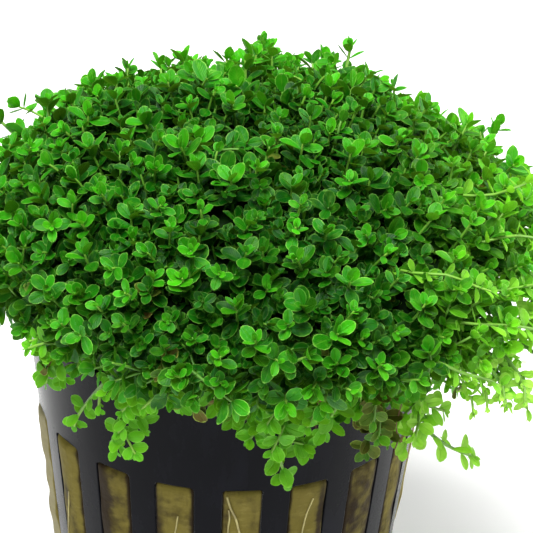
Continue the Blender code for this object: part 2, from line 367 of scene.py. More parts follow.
class Tree:  # a node tree for shapes
    def __init__(self, name, **sockets):
        self.tree = bpy.data.node_groups.new(name, "GeometryNodeTree")
        kinds = {int: "NodeSocketInt", float: "NodeSocketFloat"}
        face = self.tree.interface
        face.new_socket("Geometry", in_out="INPUT", socket_type="NodeSocketGeometry")
        for key, value in sockets.items():
            kind = kinds.get(type(value), f"NodeSocket{value}")
            made = face.new_socket(key.replace("_", " "), in_out="INPUT", socket_type=kind)
            if type(value) in kinds:
                made.default_value = value
        face.new_socket("Geometry", in_out="OUTPUT", socket_type="NodeSocketGeometry")
        self.inputs = addNode(self.tree, "NodeGroupInput").outputs
        self.result = addNode(self.tree, "NodeGroupOutput")

    def given(self, name):
        return Wire(self.tree, self.inputs[name])

    # kinds for shapes are given without their first words
    def part(self, kind, sockets=None, output=0, **settings):
        if not kind.startswith(("Function", "Shader")):
            kind = "GeometryNode" + kind
        return Wire(self.tree, addNode(self.tree, kind, settings, sockets).outputs[output])

    def named(self, name, kind="FLOAT"):
        return self.part("InputNamedAttribute", {"Name": name}, data_type=kind)

    def chance(self, low, high, shift):
        sockets = {2: low, 3: high, "Seed": self.given("Seed") + shift}
        return self.part("FunctionNodeRandomValue", sockets, 1, data_type="FLOAT")

    def coated(self, shape, material):
        return self.part("SetMaterial", {"Geometry": shape, "Material": self.given(material)})

    def join(self, parts):
        node = addNode(self.tree, "GeometryNodeJoinGeometry")
        for each in parts:
            self.tree.links.new(each.socket, node.inputs[0])
        return Wire(self.tree, node.outputs[0])

    def done(self, geometry):
        self.tree.links.new(geometry.socket, self.result.inputs[0])
        return self.tree


# The blades that every shoot carries: a blade lies along +Y and faces +Z

blade = {
    "length": 2.20 * mm,
    "rows": (0.0, 0.08, 0.24, 0.46, 0.68, 0.87, 0.985),
    "halfWidths": (0.045, 0.13, 0.255, 0.335, 0.322, 0.208, 0.055),
    "stalk": 0.05, "fold": 0.014,
    # how much each kind is cupped across, arched along and widened
    "kinds": {"bladeFlat": (0.28, -0.04, 1.0), "bladeCupped": (0.46, 0.24, 1.04),
              "bladeArched": (-0.14, -0.34, 0.98), "bladeNarrow": (0.34, 0.05, 0.80)},
}


def makeBlade(name, shape, rows, columns):
    cup, arch, widen = shape
    bm = bmesh.new()
    layer = bm.loops.layers.uv.new("leafMap")
    grid, places = [], {}
    for index in rows:
        t, half = blade["rows"][index], blade["halfWidths"][index]
        row = []
        for s in columns:
            x = s * half * widen
            z = cup * x * x * 2.2 + arch * t * t * 0.5 - blade["fold"] * (1 - abs(s))
            vert = bm.verts.new(Vector((x, t + blade["stalk"], z)) * blade["length"])
            places[vert] = (0.5 + s / 2, t)
            row.append(vert)
        grid.append(row)
    for low, high in zip(grid, grid[1:]):
        bridge(bm, low, high)
    for face in bm.faces:
        for loop in face.loops:
            loop[layer].uv = places[loop.vert]
    return bmeshObject(name, bm)


def makeBlades(ending, rows, columns):
    return [makeBlade(name + ending, shape, rows, columns) for name, shape in blade["kinds"].items()]


fineBlades = makeBlades("", range(7), (-1, -0.5, 0, 0.5, 1))
plainBlades = makeBlades("Plain", (0, 2, 4, 6), (-1, 0, 1))


# A tree that turns a net of edges into stems with leaf pairs

shootTree = {"Leaf_Size": 1.0, "Size_Spread": 0.13, "Turn_Spread": 0.34, "Tilt_Spread": 0.46,
             "Stem_Size": 1.0, "Stem_Sides": 4, "Seed": 4}


def makeShootTree():
    slots = {f"Blade_{k + 1}": "Object" for k in range(4)}
    g = Tree("leafyShoots", **shootTree, **slots, Leaf_Material="Material", Stem_Material="Material")
    kinds = []
    for k in range(4):
        shape = g.part("ObjectInfo", {"Object": g.given(f"Blade {k + 1}")}, "Geometry")
        kinds.append(g.part("GeometryToInstance", {"Geometry": shape}))
    kinds = g.join(kinds)
    size = g.named("leafSize")
    swing, tilt, vary = g.given("Turn Spread"), g.given("Tilt Spread"), g.given("Size Spread")
    leaves = []
    align, move = "FunctionNodeAlignRotationToVector", "FunctionNodeRotateRotation"
    for k in (1, 2):
        along, facing = g.named(f"axis{k}", "FLOAT_VECTOR"), g.named(f"face{k}", "FLOAT_VECTOR")
        turn = g.part(align, {"Vector": along}, axis="Y")
        turn = g.part(align, {"Rotation": turn, "Vector": facing}, axis="Z", pivot_axis="Y")
        for axis, angle in (((0, 0, 1), g.chance(swing * -1, swing, 10 + k)),
                            ((1, 0, 0), g.chance(tilt * -1, tilt, 20 + k)),
                            ((0, 1, 0), g.chance(swing * -0.9, swing * 0.9, 30 + k))):
            step = g.part("FunctionNodeAxisAngleToRotation", {"Axis": axis, "Angle": angle})
            turn = g.part(move, {"Rotation": turn, "Rotate By": step}, rotation_space="LOCAL")
        scale = size * g.given("Leaf Size") * (1 + g.chance(vary * -1, vary, 50 + k))
        placed = g.part("InstanceOnPoints", {
            "Points": g.given("Geometry"), "Selection": size.above(0.01), "Instance": kinds,
            "Pick Instance": True, "Instance Index": g.chance(0.0, 3.999, 40 + k).floor(),
            "Rotation": turn, "Scale": scale})
        shade = (g.named("tone") + g.chance(-0.28, 0.28, 60 + k)).clamped()
        leaves.append(g.part("StoreNamedAttribute", {"Geometry": placed, "Name": "tone", "Value": shade},
                             data_type="FLOAT", domain="INSTANCE"))
    leaves = g.coated(g.part("RealizeInstances", {"Geometry": g.join(leaves)}), "Leaf Material")
    ring = g.part("CurvePrimitiveCircle", {"Resolution": g.given("Stem Sides"), "Radius": 1.0})
    paths = g.part("MeshToCurve", {"Mesh": g.given("Geometry")})
    stems = g.part("CurveToMesh", {"Curve": paths, "Profile Curve": ring, "Fill Caps": True,
                                   "Scale": g.named("stemRadius") * g.given("Stem Size")})
    return g.done(g.join([leaves, g.coated(stems, "Stem Material")]))


leafyShoots = makeShootTree()


class Net:  # shoots as chains of points, tip first, each with what its leaf pair needs
    keys = ("axis1", "axis2", "face1", "face2", "leafSize", "stemRadius", "tone", "youth", "decay", "thin")

    def __init__(self):
        self.places, self.edges = [], []
        self.data = {key: [] for key in self.keys}

    # sizes, openings, radii, tone, youth and decay are lists, or one number for the whole shoot
    def add(self, points, turn, sizes, openings, radii, tone, youth=0.0, decay=0.0, thin=0.0,
            facing=None, flatten=0.0):
        first = len(self.places)
        outward = None
        for k, place in enumerate(points):
            ahead = points[max(k - 1, 0)]
            behind = points[min(k + 1, len(points) - 1)]
            aim = (ahead - behind).normalized()
            if outward is None:
                outward = aim.orthogonal().normalized()
                outward = Matrix.Rotation(turn, 3, aim) @ outward
            outward = (outward - outward.dot(aim) * aim).normalized()
            across = outward if k % 2 == 0 else aim.cross(outward)
            if facing:  # leaf pairs of a hanging shoot lie down beside its stem
                across = (across - facing * across.dot(facing) * flatten).normalized()
            opening, *looks = [each[k] if isinstance(each, list) else each
                               for each in (openings, sizes, radii, tone, youth, decay)]
            reach, lean = math.sin(opening), math.cos(opening)
            axes = [across * reach + aim * lean, aim * lean - across * reach]
            faces = [aim * reach - across * lean + up * 0.25, aim * reach + across * lean + up * 0.25]
            if facing:
                faces = [face * (1 - flatten) + facing * flatten * 1.6 for face in faces]
            self.places.append(place)
            if k:
                self.edges.append((first + k - 1, first + k))
            for key, value in zip(self.keys, (*axes, *faces, *looks, thin)):
                self.data[key].append(value)

    def grow(self, name, seed, blades=None, stem=None):
        mesh = bpy.data.meshes.new(name)
        mesh.from_pydata(self.places, self.edges, [])
        for key, values in self.data.items():
            vector = key[:4] in ("axis", "face")
            layer = mesh.attributes.new(key, "FLOAT_VECTOR" if vector else "FLOAT", "POINT")
            flat = np.array(values, dtype=np.float32).ravel()
            layer.data.foreach_set("vector" if vector else "value", flat)
        made = meshObject(name, mesh)
        kinds = {f"Blade{k + 1}": shape for k, shape in enumerate(blades or fineBlades)}
        giveInputs(made, leafyShoots, Seed=seed, LeafMaterial=leafMaterial,
                   StemMaterial=stem or stemMaterial, **kinds)
        made = plain(made)
        for key in self.keys[:6]:
            if key in made.data.attributes:
                made.data.attributes.remove(made.data.attributes[key])
        return made


pieces = []  # every finished piece, with the slot and the nodes that it stands for


def keep(piece, slot, *nodes):
    pieces.append((piece, slot, nodes))
    print(piece.name, len(piece.data.polygons), "faces")


# The dome, as part.py gives it

dome = {
    "centre": Vector((3.8, 0.5, 59)) * mm,
    "halfWidth": 36.0 * mm,
    "rise": 17.0 * mm,
    "drop": 11.0 * mm,
    "floor": 50.4 * mm,
    # angle and steepness of each swell or hollow, its width in degrees and its height in mm
    "swells": [(118, 28, 30, -3.9), (-150, 44, 22, -0.9), (-172, 46, 26, -1.2), (86, -40, 36, 6.5)],
    "lumps": 1.2 * mm, "lumpPeriod": 11 * mm, "lumpsFrom": -0.3,
    # low on the right the mat thins out into hanging shoots
    "looseAt": (84, -22), "looseEdge": (0.64, 0.94),
}


def domeScale(z):
    return Vector((dome["halfWidth"], dome["halfWidth"], dome["rise"] if z > 0 else dome["drop"]))


def domePoint(direction):
    point = dome["centre"] + domeScale(direction.z) * direction
    for angle, steepness, wide, height in dome["swells"]:
        middle = towards(angle, steepness)
        point += middle * height * mm * math.exp(-(middle.angle(direction) / math.radians(wide)) ** 2)
    if direction.z > dome["lumpsFrom"]:
        point += direction * dome["lumps"] * noise.noise(point / dome["lumpPeriod"])
    point.z = max(point.z, dome["floor"])
    return point


def domeNormal(direction):
    scale = domeScale(direction.z)
    return Vector([part / half for part, half in zip(direction, scale)]).normalized()


# The layers of shoots that make the dome, outermost first

mat = {
    "seed": 21,
    # distance under the surface and least spacing in mm, leaf pairs, tone and freshness (both lower
    # in deeper layers, as painted shade), the share left out where the mat is loose, the number of pieces and
    # the blades
    "layers": [(-0.9, 3.1, 6, 0.70, 0.88, 0.34, 3, fineBlades),
               (0.5, 2.6, 5, 0.28, 0.32, 0.72, 3, fineBlades),
               (2.0, 2.4, 4, 0.08, 0.09, 0.97, 2, plainBlades),
               (3.5, 2.3, 3, 0.02, 0.02, 1.0, 1, plainBlades)],
    "tries": 7000, "uneven": 0.85,  # places tried for each layer, and how unevenly deep they lie, in mm
    # hollows sink the leaves and also darken their tone and freshness, as painted shade
    "hollows": {"period": 4.4 * mm, "edge": (0.02, 0.42), "depth": 2.1},
    "dips": [(138, 34, 1.9), (-110, 20, 2.6)],  # where the leaves stand lower: angle, steepness and mm
    "dipEdge": (0.90, 0.985),
    "lowest": -0.62, "upward": 0.45, "droop": -0.15, "droopUnder": -0.1, "wander": 0.58,
    "rootShare": 0.5, "rootHeight": 46 * mm,
    "size": (0.68, 1.20), "tone": 0.30, "fresh": (0.35, 1.2), "patch": 9 * mm,
    # where painted light makes the leaves lighter and fresher: towards the right, the back and the left
    "sunny": (14 * mm, 36 * mm), "farBack": (2 * mm, 24 * mm), "farLeft": (17 * mm, 34 * mm),
    "worn": (0.4, 0.9), "wornShare": (0.006, 0.01),  # the share in the first layer, and more for each below
    # from the tip down: steps between leaf pairs in mm, leaf sizes and how far they open
    "steps": (0.0, 0.24, 0.42, 0.70, 1.25, 1.7, 2.0),
    "sizes": (0.42, 0.76, 0.98, 1.08, 1.06, 1.0, 0.95),
    "openings": (0.38, 0.66, 0.92, 1.12, 1.28, 1.40, 1.5),
    "stem": 0.19 * mm,
}
rng = np.random.default_rng(mat["seed"])


def draw(low, high):
    return float(rng.uniform(low, high))


def bendHome(tip, aim, root, pairs, size):  # points from the tip down, bending towards the root
    points = [tip]
    step = aim.copy()
    for k in range(1, pairs + 1):
        length = fromTip(mat["steps"], k) * mm * (0.75 + 0.25 * size)
        home = (points[-1] - root).normalized()
        step = (step * 0.82 + home * 0.18).normalized()
        points.append(points[-1] - step * length)
    return points


def spread(count, spacing, lowest):  # directions whose places on the dome keep their distance
    kept, places, filled = [], np.full((count, 3), 9.0), 0
    for _ in range(count):
        z = rng.uniform(lowest, 1)
        angle = rng.uniform(0, 2 * math.pi)
        flat = math.sqrt(1 - z * z)
        direction = Vector((flat * math.cos(angle), flat * math.sin(angle), z))
        place = np.array(dome["centre"] + domeScale(z) * direction)
        if filled and np.min(np.sum((places[:filled] - place) ** 2, axis=1)) < spacing ** 2:
            continue
        kept.append(direction)
        places[filled] = place
        filled += 1
    return kept


def looseShare(direction):
    return smoothShare(direction.normalized().dot(towards(*dome["looseAt"])), *dome["looseEdge"])


def growShoot(nets, layer, number, direction, loose):
    under, _, pairs, layerTone, layerFreshAndShade, *_ = layer
    outer, normal, holes = domePoint(direction), domeNormal(direction), mat["hollows"]
    hollow = smoothShare(noise.noise(outer / holes["period"] + Vector((7, 3, 1))), *holes["edge"])
    sunk = under + abs(rng.normal(0, mat["uneven"])) + holes["depth"] * hollow
    for angle, steepness, depth in mat["dips"]:
        sunk += depth * smoothShare(direction.normalized().dot(towards(angle, steepness)), *mat["dipEdge"])
    tip = outer - normal * sunk * mm
    lift = mat["upward"] if direction.z > mat["droopUnder"] else mat["droop"]
    aim = (normal + up * lift + Vector(rng.normal(0, mat["wander"], 3))).normalized()
    root = Vector((tip.x * mat["rootShare"], tip.y * mat["rootShare"], mat["rootHeight"]))
    size = draw(*mat["size"]) * (1 - 0.20 * loose)
    points = bendHome(tip, aim, root, pairs, size)
    steps = range(len(points))
    sizes = [*allFromTip(mat["sizes"], len(points) - 1, size), 0]
    # painted light: leaves grow lighter and fresher in colour towards the right (sunny, and where the mat is
    # loose) and towards the back and left edges (far)
    sunny = smoothShare(tip.x, *mat["sunny"])
    patch = 0.5 + 0.5 * noise.noise(tip / mat["patch"])
    far = max(smoothShare(tip.y, *mat["farBack"]), smoothShare(-tip.x, *mat["farLeft"]))
    tone = layerTone + draw(-mat["tone"], mat["tone"]) + 0.4 * (patch - 0.5) + 0.22 * sunny + 0.30 * far
    # painted shade: tone and freshness fall in hollows and in deeper layers
    tones = [max(0, tone * (1 - 0.13 * k) * (1 - 0.45 * hollow)) for k in steps]
    fresh = layerFreshAndShade * draw(*mat["fresh"]) * (1 - 0.6 * hollow)
    youth = [min(1, max(0, 1.0 - 0.26 * k) * fresh + 0.2 * sunny + 0.22 * far + 0.4 * loose) for k in steps]
    thin = min(1, 1.0 * loose + 0.5 * sunny * float(rng.random()))
    first, more = mat["wornShare"]
    worn = draw(*mat["worn"]) if rng.random() < first + more * number else 0.0
    sector = int((math.atan2(tip.y, tip.x) / (2 * math.pi) % 1) * len(nets))
    nets[sector].add(points, draw(0, 6.28), sizes, allFromTip(mat["openings"], len(points)),
                     [mat["stem"] * (0.6 + 0.1 * k) for k in steps], tones, youth,
                     [worn * smoothShare(k, 2, 4) for k in steps], thin)


def growDome():
    count = 0
    for number, layer in enumerate(mat["layers"]):
        spacing, missing, pieceCount, blades = layer[1], layer[5], layer[6], layer[7]
        nets = [Net() for _ in range(pieceCount)]
        for direction in spread(mat["tries"], spacing * mm, mat["lowest"]):
            loose = looseShare(direction)
            if rng.random() < loose * missing:
                continue
            growShoot(nets, layer, number, direction, loose)
            count += 1
        for k, net in enumerate(nets):
            name = f"domeLeaves{number + 1}{'abc'[k]}"
            keep(net.grow(name, 40 + 7 * number + k, blades), "leaf_green", "leaf_mound")
    print("dome shoots:", count)


growDome()


# The shaded tangle inside the dome

tangle = {"under": 5.4 * mm, "rings": 5, "rough": 1.6 * mm, "roughPeriod": 2.2 * mm, "floor": 50.5 * mm,
          "drawnIn": 9.0 * mm, "drawnAt": 86}  # how far it stays back on the right, and at which angle


def makeTangle():
    bm = bmesh.new()
    bmesh.ops.create_icosphere(bm, subdivisions=tangle["rings"], radius=1)
    for vert in bm.verts:
        direction = vert.co.normalized()
        place = domePoint(direction) - domeNormal(direction) * tangle["under"]
        place -= towards(tangle["drawnAt"], 0) * tangle["drawnIn"] * looseShare(direction)
        place += direction * tangle["rough"] * noise.noise(place / tangle["roughPeriod"])
        place.z = max(place.z, tangle["floor"])
        vert.co = place
    for face in bm.faces:
        face.smooth = True
    return bmeshObject("shadedTangle", bm, tangleMaterial)


keep(makeTangle(), "leaf_green", "leaf_mound")


# Shoots that hang outside the pot: each strand runs from the mat to its tip,
# by its angle round the pot in degrees and its radius and height in mm

hanging = {
    "steps": (0.0, 0.35, 0.65, 1.1, 1.6, 1.9, 2.1),
    "sizes": (0.46, 0.74, 0.94, 1.04, 1.06, 1.02, 0.98),
    "openings": (0.45, 0.80, 1.10, 1.25, 1.30, 1.35, 1.35),
    "stem": 0.21 * mm, "flatten": 0.6, "thin": 0.38, "uneven": 0.1,
    "tone": (0.5, 0.85), "youth": (0.6, 0.9), "oldTone": 0.2,
    # side branches: lengths in mm, the first leaf pair that bears one, and sizes
    "branch": (2.4, 4.2), "branchFrom": 3, "branchSize": (0.75, 0.95),
    "strands": {
        "left_rim": {"size": 0.88, "branches": 2, "paths": [
            [(-40.2, 31.5, 55.6), (-43.3, 29.6, 51.8), (-45.5, 29.0, 49.0)],
            [(-36.9, 31.5, 56.0), (-39.3, 29.4, 52.5), (-39.7, 28.9, 50.7)]]},
        "left_bare": {"size": 0.72, "branches": 2, "bare": (6, 8), "paths": [
            [(-23.5, 30.5, 55.6), (-28.5, 28.8, 52.4), (-33.0, 28.0, 49.4), (-37.0, 27.8, 46.4),
             (-38.8, 27.8, 44.2)]]},
        "left_front": {"size": 0.96, "branches": 4, "paths": [
            [(-20.7, 29.5, 53.5), (-22.9, 28.4, 50.4), (-25.2, 27.8, 46.8), (-26.7, 27.6, 42.9)],
            [(-22.7, 28.6, 51.1), (-21.2, 28.0, 49.1), (-19.8, 27.8, 47.0)],
            [(-20.4, 30.0, 54.5), (-19.4, 28.8, 52.4), (-18.4, 28.2, 50.2)]]},
        "front_short": {"size": 0.90, "branches": 1, "paths": [
            [(-12.0, 30.5, 55.9), (-11.3, 28.8, 53.0), (-10.6, 28.2, 50.8)],
            [(-4.5, 30.5, 56.4), (-3.4, 28.8, 53.5), (-1.6, 28.0, 51.0)],
            [(1, 30.0, 53), (2, 27.8, 50.4), (4, 27.4, 48.2)]]},
        "front_long": {"size": 1.0, "branches": 6, "paths": [
            [(6.8, 30.0, 55.3), (8.4, 28.2, 51.0), (10.7, 27.6, 47.3), (12.9, 27.2, 43.9),
             (14.6, 27.0, 40.6)],
            [(12.1, 29.0, 52.4), (14.8, 27.8, 48.5), (17.1, 27.6, 46.3), (19.2, 27.6, 44.8)],
            [(5.3, 30.0, 55.4), (4.7, 28.4, 51.8), (3.6, 27.9, 48.9)],
            [(10.6, 29.5, 53.6), (12.2, 28.6, 50.8), (13.6, 28.2, 49.0)]]},
        "front_right": {"size": 1.0, "branches": 1, "paths": [
            [(15.8, 32.0, 58.3), (19.5, 30.0, 54.0), (21.9, 29.0, 50.4)],
            [(21.0, 32.0, 57.0), (23.8, 30.4, 52.8), (25.5, 29.4, 49.9)],
            [(23.5, 34.0, 58.4), (27.2, 32.0, 54.1), (28.6, 30.8, 51.4)],
            [(22, 32.0, 53.5), (22, 30.0, 49.9), (22, 28.8, 47.6)]]},
        "old_growth": {"size": 1.04, "branches": 3, "decay": 0.62, "paths": [
            [(28.3, 33.0, 55.3), (31.6, 31.0, 51.6), (32.7, 30.0, 48.5), (33.1, 29.4, 45.7),
             (33.0, 29.0, 43.6)],
            [(31.4, 31.0, 51.2), (35.1, 30.2, 48.5), (37.5, 29.8, 45.5)]]},
        # the strands on the right are thinner and paler, partly as painted backlight
        "right_long": {"size": 0.96, "branches": 6, "branchFrom": 9, "thin": 0.85, "paths": [
            [(35.8, 33.5, 56.9), (40.1, 32.0, 53.1), (44.2, 31.0, 48.8), (47.0, 31.0, 45.3),
             (50.7, 31.5, 42.8), (54.8, 32.5, 40.8), (58.6, 33.6, 39.2)],
            [(44.2, 31.0, 48.8), (47.0, 31.0, 45.3), (45.8, 30.0, 44.2), (42.5, 29.6, 42.8)],
            [(43.0, 32.0, 51.0), (43.8, 31.0, 49.3), (42.7, 30.0, 47.8), (40.2, 29.5, 46.0)],
            [(44.1, 31.0, 49.5), (47.8, 31.5, 47.9), (50.6, 32.0, 47.0)]]},
        "right_front": {"size": 0.68, "branches": 9, "thin": 1.0, "paths": [
            [(44, 36.0, 55.5), (47, 36.0, 53.2), (49.0, 35.2, 51.5)],
            [(47, 36.5, 55.5), (50, 37.2, 52.6), (51.8, 36.6, 50.4)],
            [(50, 37.5, 55.5), (53, 38.6, 52.0), (54.9, 38.6, 49.0)],
            [(54, 38.5, 55.5), (56, 40.0, 51.8), (57.2, 40.2, 49.4)],
            [(60, 38.5, 51.5), (60, 39.2, 49), (61, 39.4, 46.1)],
            [(55, 37, 53), (56, 37.6, 50), (57, 37.8, 48.2)],
            [(66, 39, 52), (67, 40, 49), (68, 40.5, 46.6)]]},
        "right_low": {"size": 0.85, "branches": 5, "thin": 1.0, "paths": [
            [(77, 39.5, 50), (77, 41, 46), (79, 42, 41.8)],
            [(71, 40, 51), (71, 41.4, 47), (72, 42, 44)]]},
        "right_side": {"size": 0.85, "branches": 5, "thin": 1.0, "paths": [
            [(90, 41, 50), (90, 43, 46), (91, 44.5, 42.3)],
            [(84, 41, 51), (84, 43, 47), (84, 44, 43.6)]]},
        "right_rear": {"size": 0.85, "branches": 4, "thin": 0.9, "paths": [
            [(104, 41, 52), (104, 44.0, 48), (104, 45.0, 44.3)]]},
        "rear_right": {"size": 0.88, "branches": 4, "paths": [
            [(140, 36, 54), (141, 33.5, 49), (140, 31, 42.6)],
            [(132, 36, 54), (132, 34.5, 50), (132, 33.5, 47)]]},
        "rear": {"size": 0.88, "branches": 4, "paths": [
            [(176, 35, 53.5), (176, 30, 49), (178, 28.4, 42.2)],
            [(168, 34, 53), (169, 30.5, 49), (169, 29, 46)]]},
        "rear_left": {"size": 0.88, "branches": 3, "paths": [
            [(-142, 34, 53.5), (-142, 30, 49), (-140, 28.4, 43.7)]]},
        "left_side": {"size": 0.85, "branches": 3, "paths": [
            [(-92, 33.0, 56), (-92, 34.5, 51), (-90, 34.5, 46.2)]]},
    },
}


def curvePoints(points, distances):  # places on a smooth curve, by their distances from its end
    padded = [2 * points[0] - points[1], *points, 2 * points[-1] - points[-2]]
    dense = []
    for a, b, c, d in zip(padded, padded[1:], padded[2:], padded[3:]):
        for t in np.linspace(0, 1, 24, endpoint=False):
            t = float(t)
            dense.append(0.5 * ((2 * b) + (c - a) * t + (2 * a - 5 * b + 4 * c - d) * t ** 2
                                + (3 * b - a - 3 * c + d) * t ** 3))
    dense.append(points[-1])
    line = np.array(dense)[::-1]
    walked = np.concatenate(([0], np.cumsum(np.linalg.norm(np.diff(line, axis=0), axis=1))))
    wanted = [each for each in distances if each < walked[-1]]
    return [Vector([float(np.interp(each, walked, line[:, axis])) for axis in range(3)]) for each in wanted]


def hang(net, points, size, tone, youth, worn, thin, facing, bare=()):
    distances, total = [], 0.0
    for k in range(40):
        step = fromTip(hanging["steps"], k) * mm * (0.8 + 0.2 * size)
        total += step * (1 + hanging["uneven"] * draw(-1, 1))
        distances.append(total)
    places = curvePoints(points, distances)
    steps = range(len(places))
    sizes = [0 if k in bare else size * fromTip(hanging["sizes"], k) for k in steps]
    net.add(places, draw(0, 6.28), sizes, allFromTip(hanging["openings"], len(places)),
            [hanging["stem"] * (0.65 + 0.07 * min(k, 6)) for k in steps],
            [max(0, tone * (1 - 0.07 * k)) for k in steps], [youth * max(0.25, 1 - 0.14 * k) for k in steps],
            [worn * smoothShare(k, -1, 3) for k in steps], thin, facing, hanging["flatten"])
    return places


def growBranch(net, line, size, look, turn):  # a short shoot to one side of a strand
    places, facing, tone, youth, worn, thin = line
    lowest = look.get("branchFrom", hanging["branchFrom"])
    node = int(rng.integers(lowest, max(lowest + 1, len(places) - 2)))
    node = min(node, len(places) - 2)
    along = (places[node - 1] - places[node + 1]).normalized()
    side = facing.cross(along).normalized() * turn
    length = draw(*hanging["branch"]) * mm
    leave = (side * 0.8 + along * 0.5 + facing * 0.35).normalized()
    tip = places[node] + leave * length - up * length * 0.15
    middle = places[node] + (leave + facing * 0.3).normalized() * length * 0.5
    hang(net, [places[node], middle, tip], size * draw(*hanging["branchSize"]), tone, youth,
         worn * 0.8, thin, facing)


def growHanging():
    for number, (name, look) in enumerate(hanging["strands"].items()):
        net = Net()
        size, worn = look["size"], look.get("decay", 0)
        thin = look.get("thin", hanging["thin"]) * (1 - worn)
        bare = range(*look["bare"]) if "bare" in look else ()
        lines = []
        for path in look["paths"]:
            angle, radius, height = path[0]
            points = [spot(angle, radius - 6, height + 2), *(spot(*each) for each in path)]
            facing = facingOut(angle, 0.7, 0.62)
            tone, youth = draw(*hanging["tone"]), draw(*hanging["youth"])
            if worn:
                tone = youth = hanging["oldTone"]
            places = hang(net, points, size, tone, youth, worn, thin, facing, bare)
            lines.append((places, facing, tone, youth, worn, thin))
        for k in range(look["branches"]):
            growBranch(net, lines[k % len(lines)], size, look, 1 if (k // len(lines)) % 2 else -1)
        piece = net.grow(pieceName("trailing", name), 90 + number)
        keep(piece, "old_olive" if worn else "young_green", f"trailing_shoot_{name}")


growHanging()


# Shoots that stand out of the dome

standing = {
    "steps": (0, 0.35, 0.9, 1.7, 3.4, 5.4, 7.4),  # from the tip to each leaf pair, in mm
    # angle and steepness of each shoot's direction, and its height in mm
    "shoots": {"crest_left": (-178, 40, 1.8), "crest_right": (157, 43, 2.4),
               "shoulder_left": (-112, 20, 4.8), "shoulder_right": (118, 24, 3.4)},
}


def growStanding():
    for number, (name, (angle, steepness, height)) in enumerate(standing["shoots"].items()):
        direction = towards(angle, steepness)
        place, outward = domePoint(direction), domeNormal(direction)
        lean = (outward + up * 0.5).normalized()
        bend = place + outward * (0.2 + height * 0.4) * mm
        tip = bend + lean * height * 0.4 * mm
        net = Net()
        path = [place - outward * 5 * mm, place, bend, tip]
        points = curvePoints(path, [each * mm for each in standing["steps"]])
        steps = range(len(points))
        net.add(points, 0.7 * number, allFromTip(mat["sizes"], len(points), 0.95),
                allFromTip(mat["openings"], len(points), 0.85),
                [mat["stem"] * (0.8 + 0.1 * k) for k in steps],
                [0.65 - 0.05 * k for k in steps], [0.8 - 0.1 * k for k in steps])
        keep(net.grow(pieceName("standing", name), 140 + number), "young_green", f"standing_shoot_{name}")


growStanding()


# Young stems that creep over the mat, most of them on the right, with their leaf pairs wide apart

runners = {
    "steps": (0.0, 0.4, 0.95, 1.9), "spacing": 1.9, "pairs": 10,  # mm from the tip, then between pairs
    "size": 0.86, "stem": 0.165 * mm, "thin": 0.7, "sunk": 0.9, "flatten": 0.62,
    "paths": [
        [(40, 31.8, 66.6), (43.4, 35.4, 67.2), (46.6, 37.2, 66.0), (49.4, 38.4, 65.0)],
        [(57, 32.6, 67.0), (62, 36.0, 67.8), (68, 37.8, 66.2), (73, 38.9, 64.4)],
        [(45, 37.8, 61.8), (53, 39.8, 60.2), (60, 41.2, 57.8), (65, 42.2, 55.2)],
        [(56, 36.6, 62.6), (62, 40.2, 62.9), (67, 41.5, 61.0), (70, 41.8, 58.8)],
        [(66, 32.5, 71.0), (76, 35.2, 70.4), (84, 37.0, 69.6)],
        [(38, 37.6, 58.6), (43, 38.6, 56.4), (49, 39.6, 54.2), (53, 40.2, 51.6)],
        [(62, 41.0, 57.5), (69, 42.6, 55.4), (75, 43.4, 52.4)],
        [(84, 40.0, 63.5), (96, 41.5, 61.0), (104, 42.0, 57.5)],
        [(-60, 35.5, 64.5), (-66, 37.2, 63.6), (-72, 38.2, 61.6)],
        [(-121, 26.0, 65.4), (-119.6, 29.0, 66.6), (-118.4, 30.2, 67.1), (-117.4, 30.9, 67.5)],
    ],
}


def growRunners():
    net = Net()
    distances = [each * mm for each in runners["steps"]]
    distances += [(runners["steps"][-1] + runners["spacing"] * (k + 1)) * mm for k in range(runners["pairs"])]
    for path in runners["paths"]:
        points = [spot(angle, radius - runners["sunk"], height) for angle, radius, height in path]
        points.insert(0, spot(path[0][0], path[0][1] - 5, path[0][2] - 1))
        places = curvePoints(points, distances)
        steps = range(len(places))
        size = runners["size"] * draw(0.85, 1.15)
        net.add(places, draw(0, 6.28), allFromTip(hanging["sizes"][1:], len(places), size),
                allFromTip(hanging["openings"], len(places)),
                [runners["stem"] * (0.7 + 0.06 * min(k, 6)) for k in steps], 0.75,
                [max(0.35, 0.9 - 0.12 * k) for k in steps], 0.0,
                # thinness rises towards the right, partly as painted light
                runners["thin"] * smoothShare(places[0].x, 0, 20 * mm),
                facingOut(path[-1][0], 0.6, 0.7), runners["flatten"])
    keep(net.grow("runnerShoots", 150), "leaf_green", "leaf_mound")


growRunners()


# Old leaves caught along the mat's lower edge, and dry stems

strays = {
    # angle, radius, height, size and decay of each old leaf pair
    "leaves": [(-7.6, 27.2, 50.5, 1.15, 0.85), (-5.2, 27.0, 50.7, 0.9, 1.0), (0.2, 26.8, 50.1, 1.15, 0.95),
               (1.8, 27.2, 50.6, 0.9, 0.75), (-14.5, 28.2, 51.2, 1.0, 0.5), (28.5, 30.6, 50.8, 0.95, 0.75),
               (30.5, 31.0, 49.6, 1.0, 0.5), (45.5, 35.8, 52.9, 0.8, 0.7), (55, 38.0, 52.0, 0.7, 0.6),
               (-42.5, 30.2, 52.3, 0.8, 0.8), (150, 33.0, 51.4, 1.0, 0.9),
               (-165, 31.0, 51.2, 1.0, 0.8), (-120, 31.0, 53.0, 0.9, 0.7), (118, 38.0, 52.4, 1.0, 0.8)],
    # bare dry stems: their points, and their radius in mm
    "stems": [([(19, 31.5, 54), (20, 29.0, 51.0), (20.6, 28.0, 48.6), (21.6, 27.6, 47.0)], 0.24),
              ([(21.6, 27.6, 47.0), (22.6, 28.2, 47.8), (24.4, 28.8, 49.6)], 0.17),
              ([(37.5, 32, 51.0), (38, 31.0, 47.5), (39.4, 30.6, 45.0), (39.0, 30.4, 43.6)], 0.10)],
}


